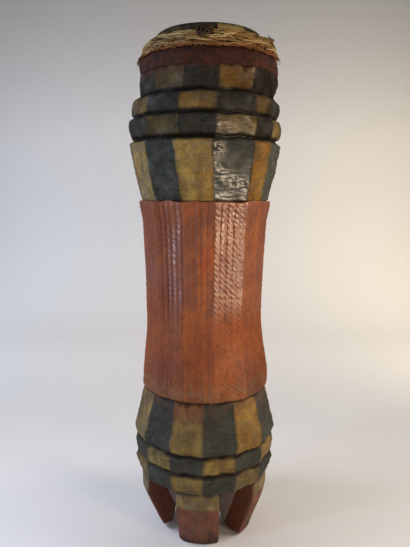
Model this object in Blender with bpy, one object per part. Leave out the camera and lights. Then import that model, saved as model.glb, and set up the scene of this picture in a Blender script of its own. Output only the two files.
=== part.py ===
"""Ceremonial ritual drum: one carved log with a hide head bound on by plant fibre.

The drum stands on its carved legs, +Z up, with its front towards -Y. Angles go
round the axis from the front towards +X. Sizes are in metres.
"""
from math import cos, pi, radians, sin

import bmesh
import bpy

# The whole height, and the heights of the carved bands from the floor up. The barrel
# takes what the other bands leave.
DRUM_HEIGHT = 1.0575
LEG_HEIGHT = 0.1345
FOOT_RING_HEIGHT = 0.0430
SECOND_RING_HEIGHT = 0.0405
LOWER_FLARE_HEIGHT = 0.1080
UPPER_FLARE_HEIGHT = 0.1190
UPPER_RING_HEIGHT = 0.0430
TOP_RING_HEIGHT = 0.0410
COLLAR_HEIGHT = 0.0455
SHOULDER_HEIGHT = 0.0810

# Radii of the bands, measured to the corners between facets
FOOT_RING_RADIUS = 0.1545
FOOT_RING_LOW_RADIUS = 0.1450
SECOND_RING_RADIUS = 0.1560
LOWER_FLARE_RADIUS = 0.1580
LOWER_FLARE_TOP_RADIUS = 0.1345
BARREL_FOOT_RADIUS = 0.1390
BARREL_WAIST_RADIUS = 0.1257
BARREL_TOP_RADIUS = 0.1398
UPPER_FLARE_LOW_RADIUS = 0.1335
UPPER_FLARE_RADIUS = 0.1582
UPPER_RING_RADIUS = 0.1598
TOP_RING_RADIUS = 0.1544
COLLAR_LOW_RADIUS = 0.1379
COLLAR_RADIUS = 0.1424
GROOVE_RADIUS = 0.1470

# Grooves between the bands
FLARE_GROOVE_WIDTH = 0.0170
GROOVE_WIDTH = 0.0100
LOWER_GROOVE_WIDTH = 0.0080
BARREL_UNDERCUT = 0.0030
BARREL_FOOT_ROUNDING = 0.0015

# Where each band turns back in, measured from its own lower or upper edge
FOOT_RING_SHOULDER = 0.0110
SECOND_RING_ARRIS = 0.0310
LOWER_FLARE_ARRIS = 0.0210
UPPER_FLARE_BEND = 0.0540
UPPER_RING_LOW_ARRIS = 0.0170
UPPER_RING_ARRIS = 0.0265
TOP_RING_LOW_ARRIS = 0.0180
TOP_RING_SHOULDER = 0.0095
COLLAR_SHOULDER = 0.0150
COLLAR_EDGE = 0.0030

# How far each band's edges lie in from its arris
FOOT_RING_FALL = 0.0015
SECOND_RING_LOW_FALL = 0.0040
SECOND_RING_FALL = 0.0025
LOWER_FLARE_LOW_FALL = 0.0045
UPPER_FLARE_BEND_FALL = 0.0112
UPPER_RING_LOW_FALL = 0.0045
UPPER_RING_ARRIS_FALL = 0.0010
UPPER_RING_FALL = 0.0030
TOP_RING_LOW_FALL = 0.0028
TOP_RING_FALL = 0.0030

# The barrel: heights of its narrowest and widest places over its foot, the run of
# its flared lip below its top, and how the line curves between them
WAIST_HEIGHT = 0.1600
BARREL_BULGE_HEIGHT = 0.0230
BARREL_LIP_HEIGHT = 0.0100
BARREL_LIP_FLARE = 0.0420
BARREL_LIP_ROUNDING = 0.0005
BARREL_NECK_SHARE = 0.55
BARREL_LOWER_CURVE = 0.8
BARREL_UPPER_CURVE = 1.4

# Facets, counted round the log. The ones at the front of the upper part are uneven,
# and those of the upper flare lean over on their way up.
FACETS = 14
UPPER_FRONT_CORNERS = (-45.0, -18.5, 8.0, 38.0, 56.5)
FLARE_LEAN = (-1.5, -3.0, -3.0, -1.0, 0.0)
LOWER_FIRST_CORNER = -0.8

# Carved ribs on each facet of the barrel
RIBS_PER_FACET = 5
RIB_DEPTH = 0.0018
BARREL_LEVELS = 8
SMOOTH_FACET = 3

# The hollow: a wide bore that tapers to a short mouth between the legs
BORE_RADIUS = 0.0950
MOUTH_RADIUS = 0.0480
MOUTH_HEIGHT = 0.0155
BORE_TAPER_HEIGHT = 0.0850
BORE_SIDES = 28

# Legs and feet. The last leg is worn short and thin.
LEG_COUNT = 5
FIRST_LEG_ANGLE = -5.5
LEG_HALF_ANGLE = 18.5
FOOT_HALF_ANGLE = 22.5
LEG_RADIUS = 0.1410
LEG_BEND_HEIGHT = 0.0970
FOOT_RADIUS = 0.1080
LEG_SETBACK = 0.0020
FOOT_INNER_RADIUS = 0.0800
FOOT_HOLLOW_HEIGHT = 0.0350
WORN_FOOT_RADIUS = 0.0990
WORN_FOOT_INNER_RADIUS = 0.0880
WORN_AWAY = 0.0090
FOOT_CORNER = 0.0085
LEG_ROOT = 0.0030
LEG_OUTER_POINTS = 9
LEG_INNER_POINTS = 4
LEG_SLANT_CURVE = 1.1
FOOT_HOLLOW_CURVE = 1.5
WORN_CURVE = 0.7

# Hide head
HIDE_THICKNESS = 0.0025
CLEARANCE = 0.0003
HEAD_SIDES = 52
HIDE_FOOT_RADIUS = 0.1390
HIDE_BULGE_RADIUS = 0.1414
HIDE_BULGE_DROP = 0.0640
HIDE_BEND_RADIUS = 0.1390
HIDE_BEND_DROP = 0.0565
BAND_FOOT_RADIUS = 0.1340
BAND_FOOT_DROP = 0.0520
BAND_TOP_RADIUS = 0.1140
BAND_TOP_DROP = 0.0240
RIM_RADIUS = 0.1105
RIM_DROP = 0.0120
RIM_TOP_RADIUS = 0.1000
HIDE_SAG = 0.0012

# Fibre binding
STRANDS = 6
STRAND_THICKNESS = 0.0046
STRAND_VALLEY = 0.0020
STRAND_WAVE = 0.0009
BAND_OVERHANG = 0.0010
BAND_BULGE = 0.0065
BAND_BULGE_RISE = 2.0
BAND_BULGE_FULLNESS = 0.7
STRAND_SHOULDER = 0.28
BUNCH_ANGLE = 80.0
BUNCH_SWELL = 0.7

# Knot of the binding
KNOT_WIDTH = 0.0290
KNOT_HEIGHT = 0.0300
KNOT_DEPTH = 0.0200
KNOT_STANDOFF = 0.0140
KNOT_DROP = 0.0095
KNOT_SEAT = 0.0006
KNOT_ANGLE = -2.8
KNOT_TURNS = 3
KNOT_TURN_DEPTH = 0.0012
KNOT_SIDES = 18
KNOT_LEVELS = 12

# The log is not quite straight: its axis stands off by so much at these levels
AXIS_AT_FEET = 0.0010
AXIS_AT_BARREL_FOOT = 0.0020
AXIS_AT_WAIST = -0.0020
AXIS_AT_HEAD = 0.0050

# Levels worked out from the bands
FOOT_RING_TOP = LEG_HEIGHT + FOOT_RING_HEIGHT
SECOND_RING_TOP = FOOT_RING_TOP + SECOND_RING_HEIGHT
LOWER_FLARE_TOP = SECOND_RING_TOP + LOWER_FLARE_HEIGHT
DRUM_TOP = DRUM_HEIGHT
COLLAR_TOP = DRUM_TOP - SHOULDER_HEIGHT
TOP_RING_TOP = COLLAR_TOP - COLLAR_HEIGHT
UPPER_RING_TOP = TOP_RING_TOP - TOP_RING_HEIGHT
UPPER_FLARE_TOP = UPPER_RING_TOP - UPPER_RING_HEIGHT
BARREL_TOP = UPPER_FLARE_TOP - UPPER_FLARE_HEIGHT
MOUTH_TOP = LEG_HEIGHT + MOUTH_HEIGHT
BORE_FOOT = MOUTH_TOP + BORE_TAPER_HEIGHT
LEG_INNER_RADIUS = MOUTH_RADIUS + LEG_SETBACK


def even_angles(count, first=0.0):
    """Angles that go evenly round, in radians."""
    return [radians(first) + 2 * pi * i / count for i in range(count)]


def upper_corners(lean=0.0):
    """The uneven front corners, and the rest spread evenly round the back."""
    front = [radians(a + lean * b) for a, b in zip(UPPER_FRONT_CORNERS, FLARE_LEAN)]
    rest = FACETS - len(front) + 1
    span = 2 * pi - (front[-1] - front[0])
    return front + [front[-1] + span * i / rest for i in range(1, rest)]


def lower_corners():
    """Even corners of the lower bands."""
    return even_angles(FACETS, LOWER_FIRST_CORNER)


def eased(t):
    """A smooth run from 0 to 1, level beyond both ends."""
    t = min(1.0, max(0.0, t))
    return t * t * (3 - 2 * t)


def axis_offset(height):
    """How far sideways the log's axis lies at a height."""
    waist = LOWER_FLARE_TOP + WAIST_HEIGHT
    runs = (
        (LEG_HEIGHT, LOWER_FLARE_TOP, AXIS_AT_FEET, AXIS_AT_BARREL_FOOT),
        (LOWER_FLARE_TOP, waist, AXIS_AT_BARREL_FOOT, AXIS_AT_WAIST),
        (UPPER_RING_TOP, COLLAR_TOP - 2 * CLEARANCE, AXIS_AT_WAIST, AXIS_AT_HEAD),
    )
    offset = AXIS_AT_FEET
    for low, high, before, after in runs:
        offset += (after - before) * eased((height - low) / (high - low))
    return offset


def place(mesh, angle, radius, height):
    """One corner, at its angle and radius round the log's axis."""
    return mesh.verts.new((radius * sin(angle) + axis_offset(height), -radius * cos(angle), height))


def ring(mesh, angles, radius, height):
    """One closed ring of corners, kept as pairs of angle and vertex."""
    return [(a, place(mesh, a, radius, height)) for a in angles]


def skin(mesh, below, above):
    """Faces between two rings that may have different numbers of corners."""
    if len(below) == len(above):
        for i in range(len(below)):
            j = (i + 1) % len(below)
            mesh.faces.new((below[i][1], below[j][1], above[j][1], above[i][1]))
        return
    start = below[0][0]
    shift = min(range(len(above)), key=lambda k: abs(wrap(above[k][0] - start)))
    above = above[shift:] + above[:shift]
    i = j = 0
    while i < len(below) or j < len(above):
        low, next_low = below[i % len(below)], below[(i + 1) % len(below)]
        top, next_top = above[j % len(above)], above[(j + 1) % len(above)]
        low_ahead = unrolled(next_low[0], start, i + 1, len(below))
        top_ahead = unrolled(next_top[0], start, j + 1, len(above))
        if j == len(above) or (i < len(below) and low_ahead <= top_ahead):
            mesh.faces.new((low[1], next_low[1], top[1]))
            i += 1
        else:
            mesh.faces.new((low[1], next_top[1], top[1]))
            j += 1


def wrap(angle):
    """The angle brought between minus pi and pi."""
    return (angle + pi) % (2 * pi) - pi


def unrolled(angle, start, index, count):
    """How far round a corner is from the start, past a whole turn at the last one."""
    turn = 2 * pi if index == count else 0.0
    return wrap(angle - start - pi) + pi if not turn else turn + wrap(angle - start)


def barrel_ring(mesh, radius, height):
    """A ring on the barrel, with the ribs cut into each flat facet."""
    corners = upper_corners()
    made = []
    for f, first in enumerate(corners):
        last = corners[(f + 1) % FACETS] + (2 * pi if f == FACETS - 1 else 0.0)
        steps = 2 * RIBS_PER_FACET
        for i in range(steps):
            t = i / steps
            x = radius * (sin(first) * (1 - t) + sin(last) * t)
            y = -radius * (cos(first) * (1 - t) + cos(last) * t)
            is_groove = i > 0 and i % 2 == 0 and f != SMOOTH_FACET
            reach = (x * x + y * y) ** 0.5
            keep = 1 - (RIB_DEPTH / reach if is_groove else 0.0)
            vertex = mesh.verts.new((x * keep + axis_offset(height), y * keep, height))
            made.append((first + (last - first) * t, vertex))
    return made


def barrel_stations():
    """Radius and height of the barrel's levels: rounded foot, waist, flared lip."""
    foot = LOWER_FLARE_TOP
    stations = [(BARREL_FOOT_RADIUS - BARREL_UNDERCUT, foot + BARREL_FOOT_ROUNDING)]
    bulge = foot + BARREL_BULGE_HEIGHT
    waist = foot + WAIST_HEIGHT
    lip = BARREL_TOP - BARREL_LIP_HEIGHT
    neck = BARREL_TOP - BARREL_LIP_FLARE
    neck_radius = BARREL_WAIST_RADIUS + BARREL_NECK_SHARE * (BARREL_TOP_RADIUS - BARREL_WAIST_RADIUS)
    half = BARREL_LEVELS // 2
    for i in range(half):
        t = i / half
        share = eased(t) ** BARREL_LOWER_CURVE
        radius = BARREL_FOOT_RADIUS + (BARREL_WAIST_RADIUS - BARREL_FOOT_RADIUS) * share
        stations.append((radius, bulge + (waist - bulge) * t))
    for i in range(half + 1):
        t = i / half
        share = t ** BARREL_UPPER_CURVE
        radius = BARREL_WAIST_RADIUS + (neck_radius - BARREL_WAIST_RADIUS) * share
        stations.append((radius, waist + (neck - waist) * t))
    stations.append((BARREL_TOP_RADIUS - BARREL_LIP_ROUNDING, lip))
    stations.append((BARREL_TOP_RADIUS, BARREL_TOP - 2 * BARREL_LIP_ROUNDING))
    return stations


def hide_profile(inset=0.0):
    """Outer line of the hide from its lower edge to the rim, set in by a distance."""
    line = (
        (HIDE_FOOT_RADIUS, COLLAR_TOP + CLEARANCE),
        (HIDE_BULGE_RADIUS, DRUM_TOP - HIDE_BULGE_DROP),
        (HIDE_BEND_RADIUS, DRUM_TOP - HIDE_BEND_DROP),
        (BAND_FOOT_RADIUS, DRUM_TOP - BAND_FOOT_DROP),
        (BAND_TOP_RADIUS, DRUM_TOP - BAND_TOP_DROP),
        (RIM_RADIUS, DRUM_TOP - RIM_DROP),
        (RIM_TOP_RADIUS, DRUM_TOP),
    )
    return offset_line(line, inset)


def offset_line(line, inset):
    """The line moved inwards, square to its own run, as a parallel line."""
    moved = []
    for i, (radius, height) in enumerate(line):
        normals = []
        for a, b in ((i - 1, i), (i, i + 1)):
            if a < 0 or b >= len(line):
                continue
            dr = line[b][0] - line[a][0]
            dz = line[b][1] - line[a][1]
            length = (dr * dr + dz * dz) ** 0.5
            normals.append((dz / length, -dr / length))
        nr = sum(n[0] for n in normals) / len(normals)
        nz = sum(n[1] for n in normals) / len(normals)
        size = nr * nr + nz * nz
        moved.append((radius - inset * nr / size, height - inset * nz / size))
    return moved


def finish(name, mesh, material, smooth_angle=None):
    """Turns the bmesh into a named object with its material."""
    bmesh.ops.recalc_face_normals(mesh, faces=mesh.faces)
    data = bpy.data.meshes.new(name)
    mesh.to_mesh(data)
    mesh.free()
    data.materials.append(material)
    if smooth_angle is not None:
        data.shade_smooth()
        data.set_sharp_from_angle(angle=radians(smooth_angle))
    made = bpy.data.objects.new(name, data)
    bpy.context.scene.collection.objects.link(made)
    return made


def principled(name, colour, roughness):
    """A plain material: linear colour, roughness, no metal."""
    material = bpy.data.materials.new(name)
    material.use_nodes = True
    shader = material.node_tree.nodes["Principled BSDF"]
    shader.inputs["Base Color"].default_value = (*colour, 1.0)
    shader.inputs["Roughness"].default_value = roughness
    shader.inputs["Metallic"].default_value = 0.0
    return material


def combine(target, tools, operation):
    """Cuts or joins other objects into the target, one after another."""
    for tool in tools:
        modifier = target.modifiers.new(tool.name, "BOOLEAN")
        modifier.operation = operation
        modifier.solver = "EXACT"
        modifier.object = tool
        tool.hide_render = True
        tool.display_type = "WIRE"


def log_shell(material):
    """The carved log above its legs, hollow from the rim to the mouth below."""
    mesh = bmesh.new()
    low = lower_corners()
    high = upper_corners()
    half_low = LOWER_GROOVE_WIDTH / 2
    half = GROOVE_WIDTH / 2
    lower = (
        (FOOT_RING_LOW_RADIUS, LEG_HEIGHT),
        (FOOT_RING_RADIUS, FOOT_RING_TOP - FOOT_RING_SHOULDER),
        (FOOT_RING_RADIUS - FOOT_RING_FALL, FOOT_RING_TOP - half_low),
        (GROOVE_RADIUS, FOOT_RING_TOP),
        (SECOND_RING_RADIUS - SECOND_RING_LOW_FALL, FOOT_RING_TOP + half_low),
        (SECOND_RING_RADIUS, FOOT_RING_TOP + SECOND_RING_ARRIS),
        (SECOND_RING_RADIUS - SECOND_RING_FALL, SECOND_RING_TOP - half_low),
        (GROOVE_RADIUS, SECOND_RING_TOP),
        (LOWER_FLARE_RADIUS - LOWER_FLARE_LOW_FALL, SECOND_RING_TOP + half_low),
        (LOWER_FLARE_RADIUS, SECOND_RING_TOP + LOWER_FLARE_ARRIS),
        (LOWER_FLARE_TOP_RADIUS, LOWER_FLARE_TOP - BARREL_UNDERCUT / 2),
        (LOWER_FLARE_TOP_RADIUS - BARREL_UNDERCUT, LOWER_FLARE_TOP),
    )
    bend = (UPPER_FLARE_RADIUS - UPPER_FLARE_BEND_FALL, BARREL_TOP + UPPER_FLARE_BEND)
    flare_top = (UPPER_FLARE_RADIUS, UPPER_FLARE_TOP - FLARE_GROOVE_WIDTH / 2)
    upper = (
        (GROOVE_RADIUS, UPPER_FLARE_TOP),
        (UPPER_RING_RADIUS - UPPER_RING_LOW_FALL, UPPER_FLARE_TOP + FLARE_GROOVE_WIDTH / 3),
        (UPPER_RING_RADIUS - UPPER_RING_ARRIS_FALL, UPPER_FLARE_TOP + UPPER_RING_LOW_ARRIS),
        (UPPER_RING_RADIUS, UPPER_FLARE_TOP + UPPER_RING_ARRIS),
        (UPPER_RING_RADIUS - UPPER_RING_FALL, UPPER_RING_TOP - half),
        (GROOVE_RADIUS, UPPER_RING_TOP),
        (TOP_RING_RADIUS - TOP_RING_LOW_FALL, UPPER_RING_TOP + half),
        (TOP_RING_RADIUS, UPPER_RING_TOP + TOP_RING_LOW_ARRIS),
        (TOP_RING_RADIUS - TOP_RING_FALL, TOP_RING_TOP - TOP_RING_SHOULDER),
        (COLLAR_LOW_RADIUS, TOP_RING_TOP),
        (COLLAR_RADIUS, COLLAR_TOP - COLLAR_SHOULDER),
        (COLLAR_RADIUS, COLLAR_TOP - COLLAR_EDGE),
    )
    outer = [ring(mesh, low, radius, height) for radius, height in lower]
    outer += [barrel_ring(mesh, radius, height) for radius, height in barrel_stations()]
    outer += [
        ring(mesh, high, UPPER_FLARE_LOW_RADIUS, BARREL_TOP),
        ring(mesh, upper_corners(0.5), *bend),
        ring(mesh, upper_corners(1.0), *flare_top),
    ]
    outer += [ring(mesh, high, radius, height) for radius, height in upper]
    seat = hide_profile(HIDE_THICKNESS + CLEARANCE)
    head = even_angles(HEAD_SIDES)
    outer.append(ring(mesh, head, seat[0][0], COLLAR_TOP - CLEARANCE))
    outer += [ring(mesh, head, radius, height) for radius, height in seat[1:]]
    bore = even_angles(BORE_SIDES)
    inner = [
        ring(mesh, bore, BORE_RADIUS, seat[-1][1]),
        ring(mesh, bore, BORE_RADIUS, BORE_FOOT),
        ring(mesh, bore, MOUTH_RADIUS, MOUTH_TOP),
        ring(mesh, bore, MOUTH_RADIUS, LEG_HEIGHT),
    ]
    loops = outer + inner
    for below, above in zip(loops, loops[1:] + loops[:1]):
        skin(mesh, below, above)
    return finish("drum_body", mesh, material)


def leg_section(mesh, centre, half_angle, inner, outer, height):
    """One level of a leg: an outer arc and an inner arc, round its centre line."""
    corners = []
    for i in range(LEG_OUTER_POINTS):
        a = centre + half_angle * (2 * i / (LEG_OUTER_POINTS - 1) - 1)
        corners.append((outer * sin(a), -outer * cos(a)))
    for i in range(LEG_INNER_POINTS):
        a = centre + half_angle * (1 - 2 * i / (LEG_INNER_POINTS - 1))
        corners.append((inner * sin(a), -inner * cos(a)))
    return [mesh.verts.new((x + AXIS_AT_FEET, y, height)) for x, y in corners]


def leg_inner_radius(is_worn, height):
    """How far in a leg reaches: hollowed at the foot, the worn one all the way up."""
    if is_worn:
        left = 1 - height / (LEG_HEIGHT + LEG_ROOT)
        return LEG_INNER_RADIUS + (WORN_FOOT_INNER_RADIUS - LEG_INNER_RADIUS) * left ** WORN_CURVE
    left = max(0.0, 1 - height / FOOT_HOLLOW_HEIGHT)
    return LEG_INNER_RADIUS + (FOOT_INNER_RADIUS - LEG_INNER_RADIUS) * left ** FOOT_HOLLOW_CURVE


def leg(index, material):
    """A thick tapering leg, upright at the top and slanting in to its foot."""
    mesh = bmesh.new()
    centre = radians(FIRST_LEG_ANGLE) + 2 * pi * index / LEG_COUNT
    is_worn = index == LEG_COUNT - 1
    floor = WORN_AWAY if is_worn else 0.0
    foot_radius = WORN_FOOT_RADIUS if is_worn else FOOT_RADIUS
    top = LEG_HEIGHT + LEG_ROOT
    levels = [floor + FOOT_CORNER * share for share in (0.0, 0.3, 1.0)]
    levels += [LEG_BEND_HEIGHT * share for share in (0.36, 0.72, 1.0)]
    levels.append(top)
    sections = []
    for height in levels:
        slant = max(0.0, 1 - height / LEG_BEND_HEIGHT)
        outer = LEG_RADIUS - (LEG_RADIUS - foot_radius) * slant ** LEG_SLANT_CURVE
        widening = (FOOT_HALF_ANGLE - LEG_HALF_ANGLE) * slant
        rounding = FOOT_CORNER * max(0.0, 1 - (height - floor) / FOOT_CORNER) ** 2 / FOOT_RADIUS
        half_angle = radians(LEG_HALF_ANGLE + widening) - rounding
        inner = leg_inner_radius(is_worn, height)
        sections.append(leg_section(mesh, centre, half_angle, inner, outer, height))
    for below, above in zip(sections, sections[1:]):
        for i in range(len(below)):
            j = (i + 1) % len(below)
            mesh.faces.new((below[i], below[j], above[j], above[i]))
    mesh.faces.new(list(reversed(sections[0])))
    mesh.faces.new(sections[-1])
    return finish(f"leg_{index + 1}", mesh, material)


def turned(mesh, line):
    """Rings of a turned line, skinned one to the next."""
    angles = even_angles(HEAD_SIDES)
    loops = [ring(mesh, angles, radius, height) for radius, height in line]
    for below, above in zip(loops, loops[1:]):
        skin(mesh, below, above)
    return loops


def fan(mesh, loop, height):
    """Closes a ring with a fan to a point on the axis."""
    tip = place(mesh, 0.0, 0.0, height)
    for i in range(len(loop)):
        mesh.faces.new((loop[i][1], loop[(i + 1) % len(loop)][1], tip))


def drumhead(material):
    """The hide: a shell over the rim and down the shoulder, flat and tight on top."""
    mesh = bmesh.new()
    outside = hide_profile()
    inside = hide_profile(HIDE_THICKNESS)
    outer = turned(mesh, outside)
    inner = turned(mesh, [(inside[0][0], outside[0][1])] + inside[1:])
    fan(mesh, outer[-1], DRUM_TOP - HIDE_SAG)
    fan(mesh, inner[-1], DRUM_TOP - HIDE_SAG - HIDE_THICKNESS)
    skin(mesh, inner[0], outer[0])
    return finish("drumhead_hide", mesh, material, 40)


def strand_lift(angle, strand):
    """How far a strand wanders up or down the slope at an angle."""
    wave = sin(3 * angle + 1.7 * strand) + 0.6 * sin(5 * angle - 2.3 * strand)
    return STRAND_WAVE * wave


def heap(share):
    """How far the turns are heaped out from the slope, fullest above its middle."""
    return BAND_BULGE * sin(pi * share ** BAND_BULGE_RISE) ** BAND_BULGE_FULLNESS


def binding(material):
    """Turns of plant fibre side by side on the slope of the shoulder, grown together."""
    mesh = bmesh.new()
    foot = (BAND_FOOT_RADIUS, DRUM_TOP - BAND_FOOT_DROP)
    head = (BAND_TOP_RADIUS, DRUM_TOP - BAND_TOP_DROP)
    run = (head[0] - foot[0], head[1] - foot[1])
    length = (run[0] ** 2 + run[1] ** 2) ** 0.5
    along = (run[0] / length, run[1] / length)
    out = (along[1], -along[0])
    sections = []
    for angle in even_angles(HEAD_SIDES):
        near = max(0.0, cos(angle - radians(BUNCH_ANGLE)))
        swell = 1 + BUNCH_SWELL * near ** 3
        points = [(BAND_OVERHANG, CLEARANCE)]
        for s in range(STRANDS):
            low = BAND_OVERHANG + (length - 2 * BAND_OVERHANG) * s / STRANDS
            width = (length - 2 * BAND_OVERHANG) / STRANDS
            lift = strand_lift(angle, s)
            if s:
                points.append((low + lift / 2, STRAND_VALLEY * swell))
            points.append((low + width * STRAND_SHOULDER + lift, STRAND_THICKNESS * swell))
            points.append((low + width * (1 - STRAND_SHOULDER) + lift, STRAND_THICKNESS * swell))
        points.append((length - BAND_OVERHANG, CLEARANCE))
        loop = []
        for up, thickness in points:
            lift = thickness + heap(min(1.0, max(0.0, up / length))) * (thickness > CLEARANCE)
            radius = foot[0] + along[0] * up + out[0] * lift
            height = foot[1] + along[1] * up + out[1] * lift
            loop.append(place(mesh, angle, radius, height))
        sections.append(loop)
    for first, second in zip(sections, sections[1:] + sections[:1]):
        for i in range(len(first)):
            j = (i + 1) % len(first)
            mesh.faces.new((first[i], second[i], second[j], first[j]))
    return finish("fibre_binding", mesh, material, 60)


def knot_body(name, material, swell):
    """A wound lump, wider than deep, standing on the rim's slope."""
    mesh = bmesh.new()
    centre_radius = (BAND_TOP_RADIUS + RIM_RADIUS) / 2 + KNOT_STANDOFF
    centre_height = DRUM_TOP - KNOT_HEIGHT / 2 - KNOT_DROP
    angle = radians(KNOT_ANGLE)
    loops = []
    for level in range(1, KNOT_LEVELS):
        up = pi * level / KNOT_LEVELS
        loop = []
        for side in range(KNOT_SIDES):
            a = 2 * pi * side / KNOT_SIDES
            turns = 1 + cos(KNOT_TURNS * (2 * up + a)) * KNOT_TURN_DEPTH * 2 / KNOT_WIDTH
            x = sin(up) * cos(a) * turns * (KNOT_WIDTH / 2 + swell)
            y = sin(up) * sin(a) * turns * (KNOT_DEPTH / 2 + swell)
            z = -cos(up) * (KNOT_HEIGHT / 2 + swell)
            loop.append((x, y, z))
        loops.append(loop)
    tips = [(0.0, 0.0, -KNOT_HEIGHT / 2 - swell), (0.0, 0.0, KNOT_HEIGHT / 2 + swell)]

    def placed(point):
        x, y, z = point
        y = y - centre_radius
        turned_x = x * cos(angle) - y * sin(angle)
        turned_y = x * sin(angle) + y * cos(angle)
        return (turned_x + AXIS_AT_HEAD, turned_y, z + centre_height)

    rings = [[mesh.verts.new(placed(p)) for p in loop] for loop in loops]
    bottom, top = (mesh.verts.new(placed(p)) for p in tips)
    for below, above in zip(rings, rings[1:]):
        for i in range(KNOT_SIDES):
            j = (i + 1) % KNOT_SIDES
            mesh.faces.new((below[i], below[j], above[j], above[i]))
    for i in range(KNOT_SIDES):
        j = (i + 1) % KNOT_SIDES
        mesh.faces.new((rings[0][j], rings[0][i], bottom))
        mesh.faces.new((rings[-1][i], rings[-1][j], top))
    return finish(name, mesh, material, 50)


def hide_cutter(material):
    """The hide's outer form, larger by the clearance, to seat the knot on it."""
    mesh = bmesh.new()
    loops = turned(mesh, hide_profile(-CLEARANCE))
    fan(mesh, loops[-1], DRUM_TOP + CLEARANCE)
    low = place(mesh, 0.0, 0.0, loops[0][0][1].co.z)
    for i in range(HEAD_SIDES):
        mesh.faces.new((loops[0][(i + 1) % HEAD_SIDES][1], loops[0][i][1], low))
    return finish("hide_cutter", mesh, material)


def build():
    """Clears the scene and makes every piece of the drum."""
    for old in list(bpy.data.objects):
        bpy.data.objects.remove(old, do_unlink=True)
    wood = principled("painted_wood", (0.21, 0.06, 0.03), 0.55)
    hide = principled("stained_hide", (0.05, 0.015, 0.01), 0.7)
    fibre = principled("plant_fibre", (0.32, 0.20, 0.09), 0.85)
    gum = principled("dark_cord", (0.03, 0.02, 0.015), 0.8)

    body = log_shell(wood)
    combine(body, [leg(i, wood) for i in range(LEG_COUNT)], "UNION")

    drumhead(hide)

    band = binding(fibre)
    combine(band, [knot_body("knot_cutter", gum, KNOT_SEAT)], "DIFFERENCE")

    knot = knot_body("binding_knot", gum, 0.0)
    combine(knot, [hide_cutter(hide)], "DIFFERENCE")


build()
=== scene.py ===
from math import cos, pi, radians, sin

import bpy
import numpy as np
from mathutils import Matrix, Vector


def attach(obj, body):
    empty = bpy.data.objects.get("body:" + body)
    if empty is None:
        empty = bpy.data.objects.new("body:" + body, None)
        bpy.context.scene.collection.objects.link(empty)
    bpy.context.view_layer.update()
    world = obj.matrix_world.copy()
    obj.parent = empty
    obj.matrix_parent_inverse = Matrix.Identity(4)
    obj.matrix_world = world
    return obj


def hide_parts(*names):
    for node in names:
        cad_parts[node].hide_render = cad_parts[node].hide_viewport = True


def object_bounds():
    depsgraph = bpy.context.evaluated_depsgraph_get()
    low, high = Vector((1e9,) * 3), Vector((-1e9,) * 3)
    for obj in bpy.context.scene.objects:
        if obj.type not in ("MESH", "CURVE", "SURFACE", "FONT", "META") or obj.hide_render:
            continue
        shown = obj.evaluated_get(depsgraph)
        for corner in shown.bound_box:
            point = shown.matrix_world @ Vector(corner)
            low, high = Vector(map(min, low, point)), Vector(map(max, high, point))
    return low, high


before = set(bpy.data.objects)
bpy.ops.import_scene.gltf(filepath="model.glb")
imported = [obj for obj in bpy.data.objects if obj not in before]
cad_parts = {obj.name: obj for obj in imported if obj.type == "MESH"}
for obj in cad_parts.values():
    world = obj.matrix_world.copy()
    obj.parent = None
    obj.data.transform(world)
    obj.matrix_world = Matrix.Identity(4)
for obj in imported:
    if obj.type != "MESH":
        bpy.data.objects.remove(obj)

CAD_BOX = [list(corner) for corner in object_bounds()]

# Levels of the carved bands
LEG_TOP = 0.1345
FOOT_RING_TOP = 0.1775
SECOND_RING_TOP = 0.2180
LOWER_FLARE_TOP = 0.3260
BARREL_TOP = 0.7280
UPPER_FLARE_TOP = 0.8470
UPPER_RING_TOP = 0.8900
TOP_RING_TOP = 0.9310
COLLAR_TOP = 0.9765
DRUM_TOP = 1.0575

# Facets: uneven at the front of the upper part, even below. They are counted from the one
# left of the middle, towards the right
FACETS = 14
LEFT_FACET = 13
FRONT_LEFT_FACET = 0
FRONT_FACET = 1
SHINY_FACET = 2
SMOOTH_FACET = 3
RIGHT_FACET = 4
RED_RUN_FACET = 13
UPPER_FRONT_CORNERS = (-45.0, -18.5, 8.0, 38.0, 56.5)
FLARE_LEAN = (-1.5, -3.0, -3.0, -1.0, 0.0)
LOWER_FIRST_CORNER = -0.8
UPPER_FACET_RADIUS = 0.150
LOWER_FACET_WIDTH = 0.0665

# The barrel's ribs and the slanting notches across them
BARREL_ROWS = 188
RIBS_PER_FACET = 5
COLUMNS_PER_RIB = 7
RIB_WIDTH = 0.0118
RIB_DEPTH = 0.0014
NOTCH_PITCH = 0.0108
NOTCH_SLANT = 1.1
NOTCH_DEPTH = 0.0014

# For each facet of the barrel: how strong its notches are, its tone, from -1 (maroon)
# to 1 (orange), and how far hands have polished it
BARREL_NOTCHES = (1.0, 0.8, 1.4, 0.15, 0.9, 0.8, 1.0, 0.8, 0.9, 1.0, 0.8, 0.9, 0.9, 0.9)
BARREL_TONES = (-0.20, 0.3, 0.25, 0.0, 0.2, 0.1, -0.1, 0.0, 0.1, -0.2, 0.0, 0.1, -0.1, -0.3)
BARREL_SHINE = (0.45, 0.55, 1.0, 0.35, 0.5, 0.6, 0.4, 0.3, 0.5, 0.6, 0.4, 0.5, 0.4, 0.35)

# Hands have polished the barrel above one level, and its paint is thin below the other
HANDLED_ABOVE = 0.47
THIN_PAINT_BELOW = 0.44

# How far painted shade reaches above and below a cut between two bands, and how wide a corner is
# rubbed
CUT_SHADE_ABOVE = 0.0095
CUT_SHADE_BELOW = 0.0078
RUBBED_CORNER = 2.5

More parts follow.
